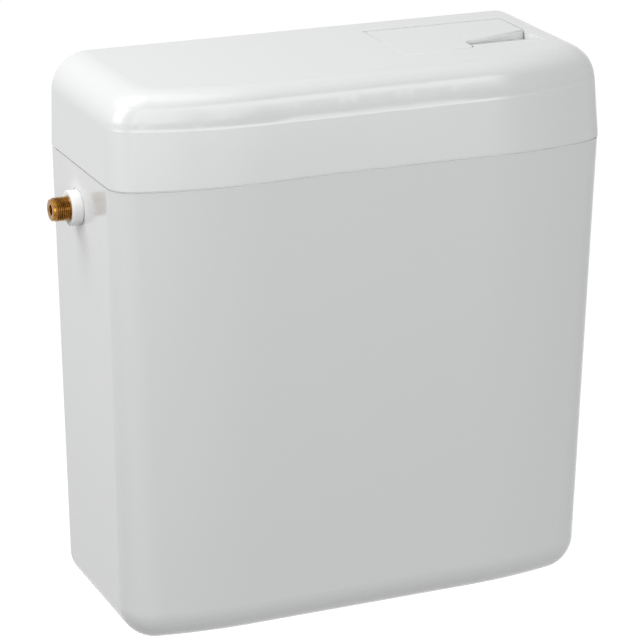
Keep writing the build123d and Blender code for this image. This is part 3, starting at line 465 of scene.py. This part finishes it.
seals = {
    "base_seal": dict(name="baseSeal", axis="Z", bore=30.5 * mm, softness=0.8 * mm),
    "pipe_seal": dict(name="pipeSeal", axis="Z", bore=25.25 * mm, softness=1.2 * mm),
    "flush_seal": dict(name="flushSeal", axis="Z", bore=15.02 * mm, softness=0.8 * mm),
    "inlet_seal": dict(name="inletSeal", axis="X", bore=7.9 * mm, softness=0.5 * mm),
    "plug_seal": dict(name="plugSeal", axis="X", bore=7.9 * mm, softness=0.5 * mm),
    "diaphragm": dict(name="diaphragm", axis="X", bore=0, softness=0.5 * mm),
}


def makeSeal(node, name, axis, bore, softness):
    low, high = boxOf(node)
    middle = (low + high) / 2
    along = high.z - low.z if axis == "Z" else high.x - low.x
    radius = (high.y - low.y) / 2
    ring = roundEdges(spun([(bore, 0), (radius, 0), (radius, along), (bore, along)]), softness)
    at = (middle.x, middle.y, low.z) if axis == "Z" else (low.x, middle.y, middle.z)
    addPiece(name, turnTo(ring, axis, at), node)


for node, settings in seals.items():
    makeSeal(node, **settings)
print("seals made:", len(seals))


# screws

bracketScrew = dict(head=3.5 * mm, headHeight=2.2 * mm, shaft=1.75 * mm, recess=0.9 * mm,
                    recessLength=3.6 * mm, recessDepth=1.2 * mm, pitch=0.8 * mm, threadDepth=0.3 * mm)
floatScrew = dict(head=4.5 * mm, headHeight=2.5 * mm, shaft=2 * mm, slot=1 * mm, slotDepth=1.1 * mm,
                  pitch=1.2 * mm, threadDepth=0.35 * mm)
screwShape = dict(domeShare=0.45, topShare=0.9, leadTurns=0.6, lostTurns=0.5)


def domedHead(radius, height):  # pan head that stands on Z = 0, its top edge well rounded
    head = rod(radius, height)
    top = [e for e in head.edges if all(v.co.z > height * screwShape["topShare"] for v in e.verts)]
    bmesh.ops.bevel(head, geom=top, offset=height * screwShape["domeShare"], affect="EDGES", segments=5,
                    profile=0.5, material=-1)
    return head


def threadedShaft(settings, length):  # hangs down from Z = 0
    root = settings["shaft"] - settings["threadDepth"]
    core = rod(root, length, (0, 0, -length))
    turns = (length - settings["pitch"]) / settings["pitch"] - screwShape["lostTurns"]
    ridge = threadRidge(settings["shaft"], settings["threadDepth"], settings["pitch"],
                        -length + screwShape["leadTurns"] * settings["pitch"], turns, 32)
    return joined(core, ridge)


def makeBracketScrews():
    s = bracketScrew
    low, high = boxOf("bracket_screws")
    length = high.y - low.y - s["headHeight"]
    screws = []
    for x in (low.x + s["head"], high.x - s["head"]):
        half = s["recessLength"] / 2
        deep = s["headHeight"] - s["recessDepth"]
        tall = s["headHeight"] * 2
        head = carved(domedHead(s["head"], s["headHeight"]),
                      brick((-half, -s["recess"] / 2, deep), (half, s["recess"] / 2, tall)),
                      brick((-s["recess"] / 2, -half, deep), (s["recess"] / 2, half, tall)))
        screw = joined(head, threadedShaft(s, length))
        screws.append(turnTo(screw, "-Y", (x, low.y + s["headHeight"], (low.z + high.z) / 2)))
    addPiece("bracketScrews", joined(*screws), "bracket_screws")


def makeFloatScrew():
    s = floatScrew
    low, high = boxOf("float_screw")
    head = carved(domedHead(s["head"], s["headHeight"]),
                  brick((-s["head"] * 2, -s["slot"] / 2, s["headHeight"] - s["slotDepth"]),
                        (s["head"] * 2, s["slot"] / 2, s["headHeight"] * 2)))
    screw = joined(head, threadedShaft(s, high.z - low.z - s["headHeight"]))
    middle = (low + high) / 2
    addPiece("floatScrew", turnTo(screw, "Z", (middle.x, middle.y, high.z - s["headHeight"])), "float_screw")


makeBracketScrews()
makeFloatScrew()
print("screws made")


# float of foam

waterFloat = dict(edge=6 * mm, neck=6 * mm, neckHeight=5 * mm, neckSoftness=0.6 * mm)


def makeWaterFloat():
    f = waterFloat
    low, high = boxOf("water_float")
    shoulder = high.z - f["neckHeight"]
    block = brick(low, (high.x, high.y, shoulder))
    bmesh.ops.bevel(block, geom=block.edges, offset=f["edge"], affect="EDGES", segments=6, profile=0.5,
                    material=-1)
    middle = (low + high) / 2
    neck = roundEdges(rod(f["neck"], f["neckHeight"] * 2, (middle.x, middle.y, high.z - f["neckHeight"] * 2)),
                      f["neckSoftness"])
    addPiece("waterFloat", joined(block, neck), "water_float")


makeWaterFloat()
print("float made")


# moulded pieces that keep the CAD shape and get softened edges

softEdges = {
    "valve_tower": 0.4, "overflow_tube": 0.5, "seal_clamp": 0.6, "lift_rod": 0.4, "lift_nut": 0.6,
    "flush_rocker": 0.5, "rocker_bracket": 0.5, "float_lever": 0.5, "fill_valve_body": 0.6,
    "fill_valve_cap": 0.6, "silencer_tube": 0.4, "blanking_plug": 0.5, "plug_nut": 0.5,
}  # in mm


def nameOf(node):  # fill_valve_cap gives fillValveCap
    words = node.split("_")
    return words[0] + "".join(word.capitalize() for word in words[1:])


def makeSoftened():
    for node, softness in softEdges.items():
        addPiece(nameOf(node), roundEdges(merged(node), softness * mm, 35, 2), node)


makeSoftened()


# flush key with the skirt that hides the edge of its well

keySkirt = dict(thickness=3 * mm, wall=2 * mm, depth=4 * mm, sunk=0.2 * mm, behindPin=4.5 * mm,
                levelTolerance=0.01 * mm, outlineTurn=60)


def makeFlushKey():
    k = keySkirt
    key = merged("flush_key")
    level = boxOf("flush_key")[1].z - k["thickness"]
    skirt = key.copy()
    flat = [e for e in skirt.edges if all(abs(v.co.z - level) < k["levelTolerance"] for v in e.verts)]
    outline = {e for e in flat if e.is_convex and e.calc_face_angle(0) > radians(k["outlineTurn"])}
    bmesh.ops.delete(skirt, geom=skirt.faces[:], context="FACES_ONLY")
    bmesh.ops.delete(skirt, geom=[e for e in skirt.edges if e not in outline], context="EDGES")
    face = bmesh.ops.edgeloop_fill(skirt, edges=skirt.edges)["faces"]
    bmesh.ops.inset_region(skirt, faces=face, thickness=k["wall"], use_even_offset=True, use_boundary=True)
    bmesh.ops.delete(skirt, geom=face, context="FACES_ONLY")
    bmesh.ops.translate(skirt, verts=skirt.verts, vec=(0, 0, k["sunk"]))
    grown = bmesh.ops.extrude_face_region(skirt, geom=skirt.faces)["geom"]
    lower = [v for v in grown if isinstance(v, bmesh.types.BMVert)]
    bmesh.ops.translate(skirt, verts=lower, vec=(0, 0, -k["depth"] - k["sunk"]))
    bmesh.ops.recalc_face_normals(skirt, faces=skirt.faces)
    pinLow, pinHigh = boxOf("key_hinge_pin")
    behind = brick((pinLow.x, pinLow.y - k["behindPin"], level - 2 * k["depth"]),
                   (pinHigh.x, 0, level + 2 * k["sunk"]))
    piece = addPiece("flushKey", joined(key, carved(skirt, behind)), "flush_key")
    facing = piece.modifiers.new("facing", "WEIGHTED_NORMAL")  # keeps the top flat up to its rounded edge
    facing.keep_sharp = True


makeFlushKey()
print("flush key made")


for node, cadObject in nodes.items():
    cadObject.data.materials.clear()
    cadObject.data.materials.append(finishes[slotOf[node]])
print("pieces dressed")


# studio

studio = dict(floorDrop=0.5, floorSize=14, airStrength=0.19, floorColour="#8C8C8C", floorGlow=0.95)
lamps = {
    "frontLeft": dict(at=(-1.2, -3.2, 0.85), size=(2.0, 1.5), power=25.5),
    "frontRight": dict(at=(0.85, -3.2, 0.85), size=(2.1, 1.5), power=36.5),
    "left": dict(at=(-1.3, -0.2, 0.55), size=(0.8, 0.8), power=7.3),
    "overhead": dict(at=(-0.2, -0.2, 1.3), size=(1.2, 0.6), power=2.5),
    "behindLeft": dict(at=(-1.0, 0.4, 1.6), size=(1.2, 1.2), power=16.5),
}
camera = dict(azimuth=-23.67, elevation=19.63, distance=2.11605, roll=0.34, focalLength=164.96,
              sensorWidth=36, aimAt=(0, -0.060, -0.115), shiftX=-0.0106, shiftY=0.0300)


def seenDirectly(tree):  # 1 for rays that show the background, 0 for those that light the object
    rays = addNode(tree, "LightPath")
    seen = addNode(tree, "Math", {"operation": "MAXIMUM"}, {0: rays.outputs["Is Camera Ray"],
                                                           1: rays.outputs["Is Glossy Ray"]})
    return addNode(tree, "Math", {"operation": "MAXIMUM"}, {0: seen.outputs[0],
                                                           1: rays.outputs["Is Transmission Ray"]})


def makeFloor():
    material, tree = newMaterial("paleFloor")
    seen = seenDirectly(tree)
    diffuse = addNode(tree, "BsdfDiffuse", {"Color": srgb(studio["floorColour"])})
    glow = addNode(tree, "Emission", {"Color": (1, 1, 1, 1), "Strength": studio["floorGlow"]})
    both = addNode(tree, "AddShader", {}, {0: diffuse.outputs[0], 1: glow.outputs[0]})
    shader = addNode(tree, "MixShader", {}, {0: seen.outputs[0], 1: diffuse.outputs[0], 2: both.outputs[0]})
    finishMaterial(tree, shader.outputs[0])
    bm = bmesh.new()
    bmesh.ops.create_grid(bm, x_segments=1, y_segments=1, size=studio["floorSize"])
    bmesh.ops.translate(bm, verts=bm.verts, vec=(0, 0, cadBox[0].z - studio["floorDrop"]))
    mesh = bpy.data.meshes.new("floor")
    bm.to_mesh(mesh)
    bm.free()
    mesh.materials.append(material)
    floor = bpy.data.objects.new("floor", mesh)
    bpy.context.scene.collection.objects.link(floor)


def makeWorld():
    world = bpy.data.worlds.new("studioAir")
    bpy.context.scene.world = world
    world.use_nodes = True
    tree = world.node_tree
    tree.nodes.clear()
    seen = seenDirectly(tree)
    strength = addNode(tree, "Mix", {"data_type": "FLOAT", 2: studio["airStrength"], 3: 1.0},
                       {0: seen.outputs[0]})
    air = addNode(tree, "Background", {"Color": (1, 1, 1, 1)}, {"Strength": strength.outputs[0]})
    output = addNode(tree, "OutputWorld")
    tree.links.new(air.outputs[0], output.inputs["Surface"])


def addLamp(name, at, size, power):
    light = bpy.data.lights.new(name, "AREA")
    light.shape = "RECTANGLE"
    light.size, light.size_y = size
    light.energy = power
    lamp = bpy.data.objects.new(name, light)
    bpy.context.scene.collection.objects.link(lamp)
    lamp.location = at
    toObject = Vector(camera["aimAt"]) - Vector(at)
    lamp.rotation_euler = toObject.to_track_quat("-Z", "Y").to_euler()


def makeCamera():
    c = camera
    azimuth, elevation = radians(c["azimuth"]), radians(c["elevation"])
    back = Vector((sin(azimuth) * cos(elevation), -cos(azimuth) * cos(elevation), sin(elevation)))
    data = bpy.data.cameras.new("camera")
    data.lens = c["focalLength"]
    data.sensor_width = c["sensorWidth"]
    data.shift_x, data.shift_y = c["shiftX"], c["shiftY"]
    eye = bpy.data.objects.new("camera", data)
    bpy.context.scene.collection.objects.link(eye)
    eye.location = Vector(c["aimAt"]) + back * c["distance"]
    turn = (-back).to_track_quat("-Z", "Y").to_matrix() @ Matrix.Rotation(radians(c["roll"]), 3, "Z")
    eye.rotation_euler = turn.to_euler()
    bpy.context.scene.camera = eye


makeFloor()
makeWorld()
for name, settings in lamps.items():
    addLamp(name, **settings)
makeCamera()
bpy.context.scene.view_settings.view_transform = "Standard"
print("studio ready")
